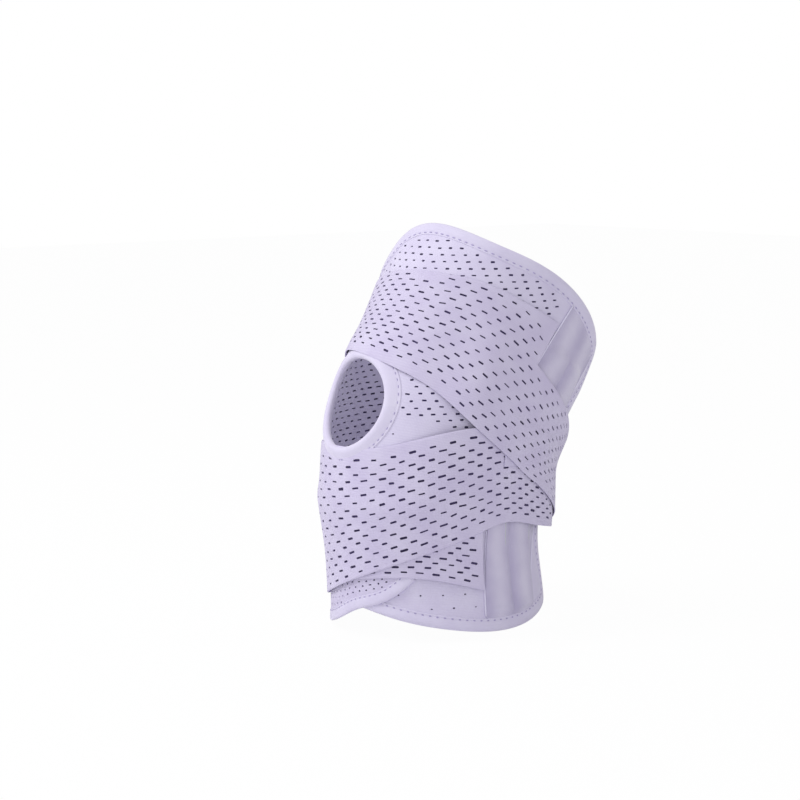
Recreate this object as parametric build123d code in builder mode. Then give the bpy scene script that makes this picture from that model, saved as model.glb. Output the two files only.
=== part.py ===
"""Open-patella wrap knee support, shaped as it sits on a leg bent by 30 degrees.

Millimetres. The origin is the middle of the leg at the calf hem, +Z runs up the calf, -Y is the front
of the knee and +X is its outer (lateral) side. Places on the brace are given as a distance along the
leg's axis and an angle round the leg: 0 is the front, +90 the lateral side, -90 the medial side.
"""
import os
from functools import cache
from math import cos, radians, sin

from build123d import *

os.makedirs("parts", exist_ok=True)

# The leg that the brace is shaped to
CALF_LENGTH = 96            # straight axis from the calf hem to the start of the knee's bend
BEND_RADIUS = 110           # radius of the axis through the knee
KNEE_FLEXION = 30           # degrees
THIGH_LENGTH = 104          # straight axis above the bend
CALF_HEM_WIDTH, CALF_HEM_DEPTH = 134, 148
CALF_WIDTH, CALF_DEPTH = 129, 144
KNEE_WIDTH, KNEE_DEPTH = 131, 160
THIGH_WIDTH, THIGH_DEPTH = 137, 162
THIGH_HEM_WIDTH, THIGH_HEM_DEPTH = 148, 158
CALF_SHIFT, KNEE_SHIFT = -5, -5     # how far the calf and knee sections sit forward of the axis

# Layers of the brace, measured outward from the leg
PANEL_THICKNESS = 2.2
SEAM_GAP = 0.05             # clearance between two pieces sewn together
LAYER_GAP = 0.3             # clearance between a band and what it crosses
THIGH_GAP = 0.7             # clearance under the upper band on the thigh
FLAP_THICKNESS = 0.8
BAND_THICKNESS = 0.85
POCKET_SKIN = 0.35
STAY_THICKNESS = 1.2
PATCH_THICKNESS = 0.45
HOOK_THICKNESS = 0.7

# Kneecap opening and its ring
PATELLA_WIDTH, PATELLA_HEIGHT = 58, 57
PATELLA_OFFSET = -4         # towards the medial side
RING_WIDTH = 10
RING_PROUD = 2.2            # height of the ring over the panel
RING_INSIDE = 0.8           # height of the ring under the panel

# Hems and rear edges
HEM_WIDTH = 9
HEM_WRAP = 0.4              # thickness of the folded hem
REAR_GAP = 56               # distance between the wrap's two rear edges
FLAP_HEM_WIDTH = 8
FLAP_HEM_WRAP = 0.3

# Pockets and stays
RIB_WIDTH, RIB_END = 17, 4
STAY_WIDTH = 9
STAY_START, STAY_END = 16, 190      # along the leg
CAP_LENGTH, CAP_SIDE, CAP_END = 9, 0.8, 1

# Pull tabs
TAB_GAP = 0.3               # between a band's end and its tab
HOOK_INSET = 3              # from a tab's long edges to its hook pad

# Elastic behind the knee
REAR_ELASTIC_TOP, REAR_ELASTIC_BOTTOM = 148, 46     # heights over the calf hem

REACH = 130                 # beyond any surface of the brace
PANEL_TOP = PANEL_THICKNESS
ON_PANEL = PANEL_TOP + SEAM_GAP
STAY_BASE = ON_PANEL + POCKET_SKIN + SEAM_GAP
POCKET_TOP = STAY_BASE + STAY_THICKNESS + SEAM_GAP + POCKET_SKIN
ON_HEM = ON_PANEL + HEM_WRAP + SEAM_GAP
FLAP_BASE = ON_HEM + FLAP_HEM_WRAP + SEAM_GAP
FLAP_HEM_TOP = FLAP_BASE + FLAP_THICKNESS + SEAM_GAP + FLAP_HEM_WRAP
BOTTOM_BAND_BASE = FLAP_HEM_TOP + SEAM_GAP
LOWER_BAND_BASE = BOTTOM_BAND_BASE + BAND_THICKNESS + LAYER_GAP
LOWER_BAND_TOP = LOWER_BAND_BASE + BAND_THICKNESS
UPPER_BAND_BASE = LOWER_BAND_TOP + LAYER_GAP + PATCH_THICKNESS + SEAM_GAP
LOOP_BASE = POCKET_TOP + SEAM_GAP
HOOK_BASE = LOOP_BASE + PATCH_THICKNESS + SEAM_GAP
LOWER_TAB_BASE = HOOK_BASE + HOOK_THICKNESS + SEAM_GAP
THIGH_BAND_BASE = PANEL_TOP + THIGH_GAP
BAND_LIFT = UPPER_BAND_BASE - THIGH_BAND_BASE   # from the bare thigh up onto the crossing

BEND_LENGTH = BEND_RADIUS * radians(KNEE_FLEXION)
THIGH_START = CALF_LENGTH + BEND_LENGTH
LEG_TOP = THIGH_START + THIGH_LENGTH
UNDER_HEM = -16             # the leg form starts below the hem

KNEE = CALF_LENGTH + BEND_LENGTH / 2

# along, half width, half depth, shift, share of the band lift
LEG_SECTIONS = [
    (UNDER_HEM, CALF_HEM_WIDTH / 2 + 1, CALF_HEM_DEPTH / 2 + 1, 0, 1),
    (0, CALF_HEM_WIDTH / 2, CALF_HEM_DEPTH / 2, -1, 1),
    (CALF_LENGTH / 2, CALF_WIDTH / 2, CALF_DEPTH / 2, CALF_SHIFT, 1),
    (CALF_LENGTH, KNEE_WIDTH / 2, KNEE_DEPTH / 2 - 1, KNEE_SHIFT, 1),
    (KNEE, KNEE_WIDTH / 2 + 1, KNEE_DEPTH / 2 + 2, KNEE_SHIFT / 2, 1),
    (THIGH_START, THIGH_WIDTH / 2 - 1, THIGH_DEPTH / 2 + 1, 0, 0.8),
    (THIGH_START + THIGH_LENGTH / 2, THIGH_WIDTH / 2 + 2, THIGH_DEPTH / 2 - 1, 0, 0),
    (LEG_TOP, THIGH_HEM_WIDTH / 2, THIGH_HEM_DEPTH / 2, 0, 0),
]
LATERAL, MEDIAL = 1, -1

# Edges of the pieces, from the front to the back: distance along the leg, angle round the leg
RIM = KNEE + 117
LATERAL_RIM = [(RIM, 0), (RIM, 24), (RIM - 2, 44), (RIM - 2, 64), (RIM - 5, 87), (RIM - 16, 118),
               (RIM - 32, 139), (RIM - 54, 150)]
MEDIAL_RIM = [(RIM, 0), (RIM - 11, -19), (RIM - 23, -32), (RIM - 30, -50), (RIM - 29, -90),
              (RIM - 34, -118), (RIM - 46, -139), (RIM - 64, -150)]
LATERAL_HEM = [(17, 0), (10, 31), (4, 57), (0, 84), (0, 102), (4, 120), (11, 139), (26, 150)]
MEDIAL_HEM = [(17, 0), (13, -30), (6, -60), (0, -90), (1, -108), (5, -125), (12, -139), (26, -150)]

UPPER_BAND_LATERAL = [
    [(KNEE + 81, 0), (KNEE + 83, 20), (KNEE + 87, 44), (KNEE + 87, 66), (KNEE + 86, 88)],
    [(KNEE + 86, 88), (KNEE + 54, 85)],
    [(KNEE + 54, 85), (KNEE + 48, 100), (KNEE + 41, 120), (KNEE + 25, 150), (KNEE + 10, 180)],
], [
    [(KNEE + 22, 0), (KNEE + 19, 25), (KNEE + 14, 48), (KNEE + 5, 66), (KNEE - 6, 84), (KNEE - 24, 105),
     (KNEE - 45, 128), (KNEE - 62, 150), (KNEE - 67, 180)],
]
UPPER_BAND_ROOT = [
    [(KNEE + 81, 0), (KNEE + 78, -25), (KNEE + 74, -55), (KNEE + 70, -82)],
], [
    [(KNEE + 22, 0), (KNEE + 24, -33), (KNEE + 21, -60), (KNEE + 17, -82)],
]
LOWER_BAND_LATERAL = [
    [(KNEE - 13, 0), (KNEE - 12, 21), (KNEE - 3, 52), (KNEE + 4, 69), (KNEE + 11, 90), (KNEE + 14, 120),
     (KNEE + 13, 150), (KNEE + 11, 180)],
], [
    [(KNEE - 92, 0), (KNEE - 76, 33), (KNEE - 66, 55), (KNEE - 56, 77), (KNEE - 52, 90), (KNEE - 57, 111),
     (KNEE - 65, 138), (KNEE - 68, 180)],
]
LOWER_BAND_ROOT = [
    [(KNEE - 13, 0), (KNEE - 13, -18), (KNEE - 13, -50), (KNEE - 15, -78)],
], [
    [(KNEE - 92, 0), (KNEE - 107, -32), (KNEE - 114, -58), (KNEE - 117, -76)],
]
BOTTOM_BAND_LATERAL = [[(75, 0), (78, 40), (73, 78)]], [[(35, 0), (38, 20), (38, 50), (29, 77)]]
BOTTOM_BAND_MEDIAL = [[(75, 0), (75, -40), (72, -78)]], [[(35, 0), (34, -30), (30, -77)]]
FLAP_EDGE = [(38, 41), (22, 23), (15, 6), (7, -8), (-3, -36), (-5, -60), (-4, -76)]
FLAP_TOP = 70

# A band's run behind the knee to the root of its pull tab, and the tab from there to its tip
UPPER_BAND_REAR = [[(98, -128), (KNEE - 8, -152), (KNEE + 10, 180)]], [[(44, -128), (50, -152), (KNEE - 67, 180)]]
UPPER_TAB = [[(86, -85), (97, -100), (98, -128)]], [[(54, -85), (44, -100), (44, -128)]]
CALF_LOOP = [[(100, -84), (100, -112)]], [[(40, -84), (40, -112)]]
LOWER_BAND_REAR = ([[(KNEE + 34, -124), (KNEE + 22, -150), (KNEE + 11, 180)]],
                   [[(KNEE - 14, -124), (KNEE - 44, -150), (KNEE - 68, 180)]])
LOWER_TAB = ([[(KNEE + 24, -88), (KNEE + 35, -103), (KNEE + 34, -124)]],
             [[(KNEE - 4, -88), (KNEE - 12, -103), (KNEE - 14, -124)]])
THIGH_LOOP = [[(KNEE + 39, -86), (KNEE + 39, -114)]], [[(KNEE - 19, -86), (KNEE - 19, -114)]]
CROSS_PATCH = [[(KNEE + 17, 84), (KNEE + 15, 112)]], [[(KNEE - 15, 87), (KNEE - 12, 116)]]

# Pockets: front and rear edges, and the middle lines of the two ribs, in the lateral side view
POCKET_FRONT = [(-15, 77), (6, 77), (CALF_LENGTH - 16, 82), (KNEE + 10, 84), (KNEE + 54, 86), (RIM - 10, 92), (RIM + 15, 94)]
POCKET_REAR = [(-15, 111), (12, 112), (CALF_LENGTH - 30, 122), (KNEE + 10, 123), (KNEE + 50, 121), (RIM - 30, 129), (RIM + 15, 132)]
FRONT_STAY_LINE = [(STAY_START, 87), (106, 88), (STAY_END, 98)]
REAR_STAY_LINE = [(STAY_START, 106), (104, 108), (STAY_END, 114)]
STAY_BEND = 60              # radius of a stay through the knee


def axis_place(along):
    """Point of the leg's axis in the side view, and the axis's lean there in degrees."""
    lean = min(max((along - CALF_LENGTH) / BEND_LENGTH, 0), 1) * KNEE_FLEXION
    thigh = max(along - THIGH_START, 0)
    y = BEND_RADIUS * (1 - cos(radians(lean))) + thigh * sin(radians(lean))
    z = min(along, CALF_LENGTH) + BEND_RADIUS * sin(radians(lean)) + thigh * cos(radians(lean))
    return y, z, lean


def section_at(along):
    """Half width, half depth and shift of the leg, between its sections."""
    for low, high in zip(LEG_SECTIONS, LEG_SECTIONS[1:]):
        if along <= high[0] or high is LEG_SECTIONS[-1]:
            share = (along - low[0]) / (high[0] - low[0])
            return [a + (b - a) * share for a, b in zip(low[1:4], high[1:4])]


def leg_place(along, angle, outward=PANEL_TOP):
    """Point on the leg, outward from its skin."""
    y, z, lean = axis_place(along)
    half_width, half_depth, shift = section_at(along)
    across = (half_width + outward) * sin(radians(angle))
    depth = shift - (half_depth + outward) * cos(radians(angle))
    return Vector(across, y + depth * cos(radians(lean)), z - depth * sin(radians(lean)))


def side_point(along, angle, outward=PANEL_TOP):
    """The same point in the side view."""
    place = leg_place(along, angle, outward)
    return place.Y, place.Z


def front_point(along, angle, outward=PANEL_TOP):
    """The same point in the front view."""
    place = leg_place(along, angle, outward)
    return place.X, place.Z


def leg_solid(outward, lift=0):
    """The leg, grown outward, and further by each section's share of the band lift."""
    with BuildPart() as leg:
        for along, half_width, half_depth, shift, lift_share in LEG_SECTIONS:
            y, z, lean = axis_place(along)
            lean_direction = (0, sin(radians(lean)), cos(radians(lean)))
            depth_direction = (0, cos(radians(lean)), -sin(radians(lean)))
            grown = outward + lift * lift_share
            centre = Vector(0, y, z) + Vector(depth_direction) * shift
            with BuildSketch(Plane(origin=centre, x_dir=(1, 0, 0), z_dir=lean_direction)):
                Ellipse(half_width + grown, half_depth + grown)
        loft()
    return leg.part


@cache
def sheath(base, thickness, lift=0):
    """A layer all round the leg."""
    with BuildPart() as layer:
        add(leg_solid(base + thickness, lift))
        add(leg_solid(base, lift), mode=Mode.SUBTRACT)
    return layer.part


def draw_edge(runs, shift, front_open, rear_open):
    """Draw one edge in the side view, and run its open ends on past the leg."""
    places = [[side_point(along + shift, angle) for along, angle in run] for run in runs]
    start, end = places[0][0], places[-1][-1]
    for run in places:
        if len(run) > 2:
            Spline(*run)
        else:
            Line(*run)
    if front_open:
        start = (start[0] - REACH, start[1])
        Line(start, places[0][0])
    if rear_open:
        end = (end[0] + REACH, end[1])
        Line(places[-1][-1], end)
    return start, end


def side_block(edges, side, inset=0, front_open=True, rear_open=True):
    """Block over one side of the leg between an upper and a lower edge."""
    with BuildPart() as block:
        with BuildSketch(Plane.YZ):
            with BuildLine():
                upper_start, upper_end = draw_edge(edges[0], -inset, front_open, rear_open)
                lower_start, lower_end = draw_edge(edges[1], inset, front_open, rear_open)
                Line(upper_start, lower_start)
                Line(upper_end, lower_end)
            make_face()
        extrude(amount=side * REACH)
    return block.part


@cache
def panel_block(inset):
    """Everything inside the wrap's outline, its hems and rear edges moved in by the inset."""
    with BuildPart() as block:
        add(side_block(([LATERAL_RIM], [LATERAL_HEM]), LATERAL, inset))
        add(side_block(([MEDIAL_RIM], [MEDIAL_HEM]), MEDIAL, inset))
        with BuildSketch(Plane.XZ):
            with Locations((0, KNEE)):
                Rectangle(REAR_GAP + 2 * inset, 4 * REACH)
        extrude(amount=-2 * REACH, mode=Mode.SUBTRACT)
    return block.part


def front_oval(width, height):
    """Oval through the front of the knee, level with the kneecap."""
    with BuildPart() as oval:
        with BuildSketch(Plane.XZ):
            with Locations((PATELLA_OFFSET, front_point(KNEE + 3, 0)[1])):
                Ellipse(width / 2, height / 2)
        extrude(amount=REACH)
    return oval.part


def stay_block(line, width, grow=0):
    """Strip along a stay's middle line, through both sides of the leg."""
    start, knee, end = [Vector(*side_point(*place)) for place in line]
    start += (start - knee).normalized() * grow
    end += (end - knee).normalized() * grow
    with BuildPart() as block:
        with BuildSketch(Plane.YZ) as strip:
            with BuildLine():
                FilletPolyline(start, knee, end, radius=STAY_BEND)
            trace(line_width=width)
        extrude(amount=REACH, both=True)
    return block.part


# The wrap: panel, kneecap ring and hems
panel_area = panel_block(HEM_WRAP)
ring_area = front_oval(PATELLA_WIDTH + 2 * RING_WIDTH, PATELLA_HEIGHT + 2 * RING_WIDTH)
patella_hole = front_oval(PATELLA_WIDTH, PATELLA_HEIGHT)

with BuildPart() as main_panel:
    add(sheath(0, PANEL_THICKNESS))
    add(panel_area, mode=Mode.INTERSECT)
    add(ring_area, mode=Mode.SUBTRACT)
main_panel.part.label = "main_panel"
export_step(main_panel.part, "parts/main_panel.step")

with BuildPart() as patella_ring:
    add(sheath(-RING_INSIDE, RING_INSIDE + PANEL_THICKNESS + RING_PROUD))
    add(ring_area, mode=Mode.INTERSECT)
    add(patella_hole, mode=Mode.SUBTRACT)
patella_ring.part.label = "patella_ring"
export_step(patella_ring.part, "parts/patella_ring.step")

with BuildPart() as hem:
    add(sheath(-HEM_WRAP - SEAM_GAP, PANEL_THICKNESS + 2 * HEM_WRAP + 2 * SEAM_GAP))
    add(panel_block(0), mode=Mode.INTERSECT)
    add(panel_block(HEM_WIDTH), mode=Mode.SUBTRACT)
with BuildPart() as panel_space:
    add(sheath(-SEAM_GAP, PANEL_THICKNESS + 2 * SEAM_GAP))
    add(panel_block(HEM_WRAP - SEAM_GAP), mode=Mode.INTERSECT)

for name, side in (("top_binding", 1), ("bottom_binding", -1)):
    with BuildPart() as binding:
        add(hem.part)
        add(panel_space.part, mode=Mode.SUBTRACT)
        with BuildSketch(Plane.XY.offset(CALF_LENGTH + side * SEAM_GAP)):
            Rectangle(4 * REACH, 4 * REACH)
        extrude(amount=side * 3 * REACH, mode=Mode.INTERSECT)
    binding.part.label = name
    export_step(binding.part, f"parts/{name}.step")

# Front flap: the lower front wing, lapped over the panel
def flap_block(inset):
    """Everything inside the flap's outline, its hem moved up by the inset."""
    hem_edge = [front_point(along + inset, angle) for along, angle in FLAP_EDGE]
    with BuildPart() as block:
        with BuildSketch(Plane.XZ):
            with BuildLine():
                Spline(*hem_edge)
                Polyline(hem_edge[0], (hem_edge[0][0], FLAP_TOP), (hem_edge[-1][0], FLAP_TOP), hem_edge[-1])
            make_face()
        extrude(amount=REACH)
    return block.part


with BuildPart() as ahead_of_pocket:
    with BuildSketch(Plane.YZ):
        with BuildLine():
            seam = Spline(*[side_point(*place) for place in POCKET_FRONT])
            Polyline(seam @ 0, (-REACH, (seam @ 0).Y), (-REACH, (seam @ 1).Y), seam @ 1)
        make_face()
    extrude(amount=REACH, both=True)
ahead_of_pocket = ahead_of_pocket.part.moved(Location((0, -LAYER_GAP, 0)))

with BuildPart() as front_flap:
    add(sheath(FLAP_BASE, FLAP_THICKNESS))
    add(ahead_of_pocket, mode=Mode.INTERSECT)
    add(flap_block(FLAP_HEM_WRAP), mode=Mode.INTERSECT)
front_flap.part.label = "front_flap"
export_step(front_flap.part, "parts/front_flap.step")

with BuildPart() as flap_space:
    add(sheath(FLAP_BASE - SEAM_GAP, FLAP_THICKNESS + 2 * SEAM_GAP))
    add(flap_block(FLAP_HEM_WRAP - SEAM_GAP), mode=Mode.INTERSECT)
with BuildPart() as flap_binding:
    add(sheath(ON_HEM, FLAP_HEM_TOP - ON_HEM))
    add(ahead_of_pocket, mode=Mode.INTERSECT)
    add(flap_block(0), mode=Mode.INTERSECT)
    add(flap_block(FLAP_HEM_WIDTH), mode=Mode.SUBTRACT)
    add(flap_space.part, mode=Mode.SUBTRACT)
flap_binding.part.label = "flap_binding"
export_step(flap_binding.part, "parts/flap_binding.step")

# Pockets: a thin skin with a hollow rib over each stay, mirrored on the medial side
with BuildPart() as pocket_outline:
    with BuildSketch(Plane.YZ):
        with BuildLine():
            front_edge = Spline(*[side_point(*place) for place in POCKET_FRONT])
            rear_edge = Spline(*[side_point(*place) for place in POCKET_REAR])
            Line(front_edge @ 0, rear_edge @ 0)
            Line(front_edge @ 1, rear_edge @ 1)
        make_face()
    extrude(amount=REACH, both=True)
hem_clear = panel_block(HEM_WIDTH + SEAM_GAP)
cap_solids = []

for side, side_name in ((LATERAL, "lateral"), (MEDIAL, "medial")):
    stay_lines = (("front", FRONT_STAY_LINE), ("rear", REAR_STAY_LINE))
    with BuildPart() as one_side:
        with BuildSketch(Plane.YZ):
            Rectangle(6 * REACH, 6 * REACH)
        extrude(amount=side * REACH)
    with BuildPart() as pocket:
        add(sheath(ON_PANEL, POCKET_SKIN))
        add(pocket_outline.part, mode=Mode.INTERSECT)
        add(one_side.part, mode=Mode.INTERSECT)
        add(hem_clear, mode=Mode.INTERSECT)
    ribs = []
    for stay_name, line in stay_lines:
        with BuildPart() as rib:
            add(sheath(ON_PANEL, POCKET_TOP - ON_PANEL))
            add(stay_block(line, RIB_WIDTH, RIB_END), mode=Mode.INTERSECT)
            add(one_side.part, mode=Mode.INTERSECT)
            add(hem_clear, mode=Mode.INTERSECT)
        with BuildPart() as stay:
            add(sheath(STAY_BASE, STAY_THICKNESS))
            add(stay_block(line, STAY_WIDTH), mode=Mode.INTERSECT)
            add(one_side.part, mode=Mode.INTERSECT)
        name = f"{side_name}_{stay_name}_stay"
        stay.part.label = name
        export_step(stay.part, f"parts/{name}.step")
        with BuildPart() as room:
            add(sheath(STAY_BASE - SEAM_GAP, STAY_THICKNESS + 2 * SEAM_GAP))
            add(stay_block(line, STAY_WIDTH + 2 * (CAP_SIDE + SEAM_GAP), CAP_END + SEAM_GAP),
                mode=Mode.INTERSECT)
        with BuildPart() as caps:
            add(sheath(STAY_BASE, STAY_THICKNESS))
            add(stay_block(line, STAY_WIDTH + 2 * CAP_SIDE, CAP_END), mode=Mode.INTERSECT)
            add(stay_block(line, STAY_WIDTH), mode=Mode.SUBTRACT)
            add(one_side.part, mode=Mode.INTERSECT)
            with BuildSketch(Plane.YZ):
                with Locations(side_point(*line[0]), side_point(*line[-1])):
                    Circle(CAP_LENGTH)
            extrude(amount=side * REACH, mode=Mode.INTERSECT)
        cap_solids.extend(caps.part.solids())
        ribs.append(rib.part - room.part)
    with BuildPart() as side_pocket:
        add(pocket.part)
        for rib in ribs:
            add(rib)
    side_pocket.part.label = f"{side_name}_pocket"
    export_step(side_pocket.part, f"parts/{side_name}_pocket.step")

# Bands
def band(edges_by_side, base, lift=0, thickness=BAND_THICKNESS):
    """A layer cut to its outline on each side of the leg."""
    with BuildPart() as area:
        for edges, side, front_open, rear_open in edges_by_side:
            add(side_block(edges, side, 0, front_open, rear_open))
    with BuildPart() as strip:
        add(sheath(base, thickness, lift))
        add(area.part, mode=Mode.INTERSECT)
    return strip.part


bands = {
    "bottom_band": band([(BOTTOM_BAND_LATERAL, LATERAL, True, False),
                         (BOTTOM_BAND_MEDIAL, MEDIAL, True, False)], BOTTOM_BAND_BASE),
    "lower_band": band([(LOWER_BAND_LATERAL, LATERAL, True, True), (LOWER_BAND_ROOT, MEDIAL, True, False),
                        (LOWER_BAND_REAR, MEDIAL, False, True)], LOWER_BAND_BASE),
    "upper_band": band([(UPPER_BAND_LATERAL, LATERAL, True, True), (UPPER_BAND_ROOT, MEDIAL, True, False),
                        (UPPER_BAND_REAR, MEDIAL, False, True)], THIGH_BAND_BASE, BAND_LIFT),
}
for name, strip in bands.items():
    strip.label = name
    export_step(strip, f"parts/{name}.step")

# Under the crossing: the stiff patch that holds the two bands together
cross_patch = band([(CROSS_PATCH, LATERAL, False, False)], THIGH_BAND_BASE - PATCH_THICKNESS - SEAM_GAP,
                   BAND_LIFT, PATCH_THICKNESS)
cross_patch.label = "cross_patch"
export_step(cross_patch, "parts/cross_patch.step")

# Behind the knee: elastic over the wrap's rear edges
with BuildPart() as rear_elastic:
    add(sheath(ON_PANEL + HEM_WRAP, BAND_THICKNESS))
    with BuildSketch(Plane.XZ):
        with Locations((0, (REAR_ELASTIC_TOP + REAR_ELASTIC_BOTTOM) / 2)):
            Rectangle(REAR_GAP + 2 * HEM_WIDTH, REAR_ELASTIC_TOP - REAR_ELASTIC_BOTTOM)
    extrude(amount=-2 * REACH, mode=Mode.INTERSECT)
rear_elastic.part.label = "rear_elastic"
export_step(rear_elastic.part, "parts/rear_elastic.step")

# Pull tabs on the medial side, each with its hook pad, and the loop patches that they press onto
tabs = (("upper", UPPER_TAB, THIGH_BAND_BASE, BAND_LIFT), ("lower", LOWER_TAB, LOWER_TAB_BASE, 0))
for tab_name, tab_edges, tab_base, tab_lift in tabs:
    with BuildPart() as tab:
        add(sheath(tab_base, BAND_THICKNESS, tab_lift))
        add(side_block(tab_edges, MEDIAL, 0, False, False).moved(Location((0, -TAB_GAP, 0))),
            mode=Mode.INTERSECT)
    tab.part.label = f"{tab_name}_band_tab"
    export_step(tab.part, f"parts/{tab_name}_band_tab.step")
    with BuildPart() as hook:
        add(leg_solid(tab_base - SEAM_GAP, tab_lift))
        add(leg_solid(HOOK_BASE), mode=Mode.SUBTRACT)
        add(side_block(tab_edges, MEDIAL, HOOK_INSET, False, False).moved(Location((0, -TAB_GAP, 0))),
            mode=Mode.INTERSECT)
    hook.part.label = f"{tab_name}_tab_hook"
    export_step(hook.part, f"parts/{tab_name}_tab_hook.step")

for name, edges in (("calf_loop_patch", CALF_LOOP), ("thigh_loop_patch", THIGH_LOOP)):
    patch = band([(edges, MEDIAL, False, False)], LOOP_BASE, thickness=PATCH_THICKNESS)
    patch.label = name
    export_step(patch, f"parts/{name}.step")

stay_end_caps = Compound(label="stay_end_caps", children=cap_solids)
export_step(stay_end_caps, "parts/stay_end_caps.step")
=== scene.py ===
import math

import bpy
import numpy as np
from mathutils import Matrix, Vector
from mathutils.geometry import delaunay_2d_cdt
from mathutils.kdtree import KDTree


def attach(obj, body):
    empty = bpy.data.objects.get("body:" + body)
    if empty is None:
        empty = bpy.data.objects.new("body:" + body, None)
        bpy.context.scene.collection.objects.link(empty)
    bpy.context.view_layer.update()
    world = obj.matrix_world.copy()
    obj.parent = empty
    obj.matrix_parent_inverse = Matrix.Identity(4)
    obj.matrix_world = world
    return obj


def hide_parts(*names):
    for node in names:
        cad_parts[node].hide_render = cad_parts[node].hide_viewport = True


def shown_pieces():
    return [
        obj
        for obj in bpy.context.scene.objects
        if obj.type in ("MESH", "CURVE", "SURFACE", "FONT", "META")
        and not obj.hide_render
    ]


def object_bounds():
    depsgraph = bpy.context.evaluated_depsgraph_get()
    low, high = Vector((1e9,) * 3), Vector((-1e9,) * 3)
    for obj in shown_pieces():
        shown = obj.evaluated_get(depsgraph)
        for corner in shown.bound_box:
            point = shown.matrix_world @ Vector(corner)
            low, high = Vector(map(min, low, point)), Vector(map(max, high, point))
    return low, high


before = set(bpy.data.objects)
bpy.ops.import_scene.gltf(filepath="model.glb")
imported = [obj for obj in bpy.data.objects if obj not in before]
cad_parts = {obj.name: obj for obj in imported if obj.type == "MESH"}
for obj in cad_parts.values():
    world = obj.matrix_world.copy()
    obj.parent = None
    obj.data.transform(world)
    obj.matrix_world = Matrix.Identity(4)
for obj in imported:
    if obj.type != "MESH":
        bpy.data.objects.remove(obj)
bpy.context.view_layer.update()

# ------------------------------------------------------------------ the leg that the support is shaped to
# A place on the leg is an angle round it (degrees, 0 front, 90 lateral), a distance along its axis (mm) and a
# height over the skin (mm). On flat cloth a place is (w, s): w goes round and s along, both in mm.
CALF, BEND_RADIUS, FLEXION = 96.0, 110.0, math.radians(30)
BEND = BEND_RADIUS * FLEXION
KNEE = CALF + BEND / 2
THIGH = CALF + BEND
RIM = KNEE + 117
W = 1.25                       # mm of w per degree
SHEET_ROUND, SHEET_ALONG = 0.00115, 0.001     # metres of real cloth per mm of w and of s
# along, half width, half depth, shift, share of the upper band's lift
SECTIONS = np.array([(-16, 68, 75, 0, 1), (0, 67, 74, -1, 1), (48, 64.5, 72, -5, 1), (CALF, 65.5, 79, -5, 1),
                     (KNEE, 66.5, 82, -2.5, 1), (THIGH, 67.5, 82, 0, 0.8), (THIGH + 52, 70.5, 80, 0, 0),
                     (THIGH + 104, 74, 79, 0, 0)])

# ------------------------------------------------------------------ layers
# Height of a layer's underside over the skin, and its thickness (mm). The core and the backings are dark
# sheets of painted shade under the slots.
LINING, SHADE_CORE, OUTER_KNIT = (0.2, 0.4), (0.65, 0.8), (1.5, 0.7)
PANEL_FACE = 2.2               # top of the outer knit
REAR_ELASTIC = (2.75, 0.6)
FLAP_SHADE_SHEET, FLAP = (2.9, 0.14), (3.05, 0.8)
BOTTOM_SHADE_SHEET, BOTTOM_BAND = (4.27, 0.18), (4.5, 0.6)
LOOP_PATCH = (4.3, 0.45)
HOOK, HOOK_THICK, HOOK_CLEARANCE = 4.82, 0.68, 0.08
LOWER_TAB, TAB_THICK, STITCH_RISE = 5.55, 0.8, 0.05
# backings are dark sheets of painted shade under the bands' slots
SHADE_SHEET_THICK, BAND_THICK, PATCH_THICK = 0.18, 0.6, 0.42
LOWER_OVER_SHADE_SHEET, UPPER_OVER_SHADE_SHEET, PATCH_UNDER_BAND = 0.22, 0.25, 0.5
MEASURED = 3                   # height at which slots and rows are spaced


def natural(xs, ys):
    """Natural cubic spline through the points, as a function."""
    xs, ys = np.asarray(xs, float), np.asarray(ys, float)
    n, h = len(xs), np.diff(xs)
    a, r = np.zeros((n, n)), np.zeros(n)
    a[0, 0] = a[-1, -1] = 1
    for i in range(1, n - 1):
        a[i, i - 1:i + 2] = h[i - 1], 2 * (h[i - 1] + h[i]), h[i]
        r[i] = 6 * ((ys[i + 1] - ys[i]) / h[i] - (ys[i] - ys[i - 1]) / h[i - 1])
    m = np.linalg.solve(a, r)

    def value(x):
        x = np.asarray(x, float)
        i = np.clip(np.searchsorted(xs, x) - 1, 0, n - 2)
        u, v = xs[i + 1] - x, x - xs[i]
        return ((m[i] * u ** 3 + m[i + 1] * v ** 3) / (6 * h[i])
                + (ys[i] / h[i] - m[i] * h[i] / 6) * u + (ys[i + 1] / h[i] - m[i + 1] * h[i] / 6) * v)
    return value


HALF_WIDTH, HALF_DEPTH, SHIFT, LIFT = (natural(SECTIONS[:, 0], SECTIONS[:, k]) for k in range(1, 5))


def step(x, low, high):
    """Smooth step from 0 at low to 1 at high."""
    t = np.clip((x - low) / (high - low), 0, 1)
    return t * t * (3 - 2 * t)


def swell(theta, s):
    """Slow waves that all layers share over the front, fading out before the pockets."""
    t = np.radians(theta)
    turned = abs((np.asarray(theta, float) + 180) % 360 - 180)
    free = 1 - step(turned, 66, 78)
    return free * (0.35 * np.sin(3 * t + s / 31 + 0.6) + 0.3 * np.sin(5 * t - s / 23 + 1.9)
                   + 0.2 * np.sin(8 * t + s / 15) * step(s, 20, 60))


def skin(theta, s, out):
    """Points at places on the leg, in metres."""
    theta, s, out = np.broadcast_arrays(*(np.asarray(v, float) for v in (theta, s, out)))
    out = out + swell(theta, s)
    t = np.radians(theta)
    lean = np.clip((s - CALF) / BEND_RADIUS, 0, FLEXION)
    past = np.maximum(s - THIGH, 0)
    y0 = BEND_RADIUS * (1 - np.cos(lean)) + past * np.sin(lean)
    z0 = np.minimum(s, CALF) + BEND_RADIUS * np.sin(lean) + past * np.cos(lean)
    x = (HALF_WIDTH(s) + out) * np.sin(t)
    depth = SHIFT(s) - (HALF_DEPTH(s) + out) * np.cos(t)
    return np.stack([x, y0 + depth * np.cos(lean), z0 - depth * np.sin(lean)], -1) * 0.001


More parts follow.
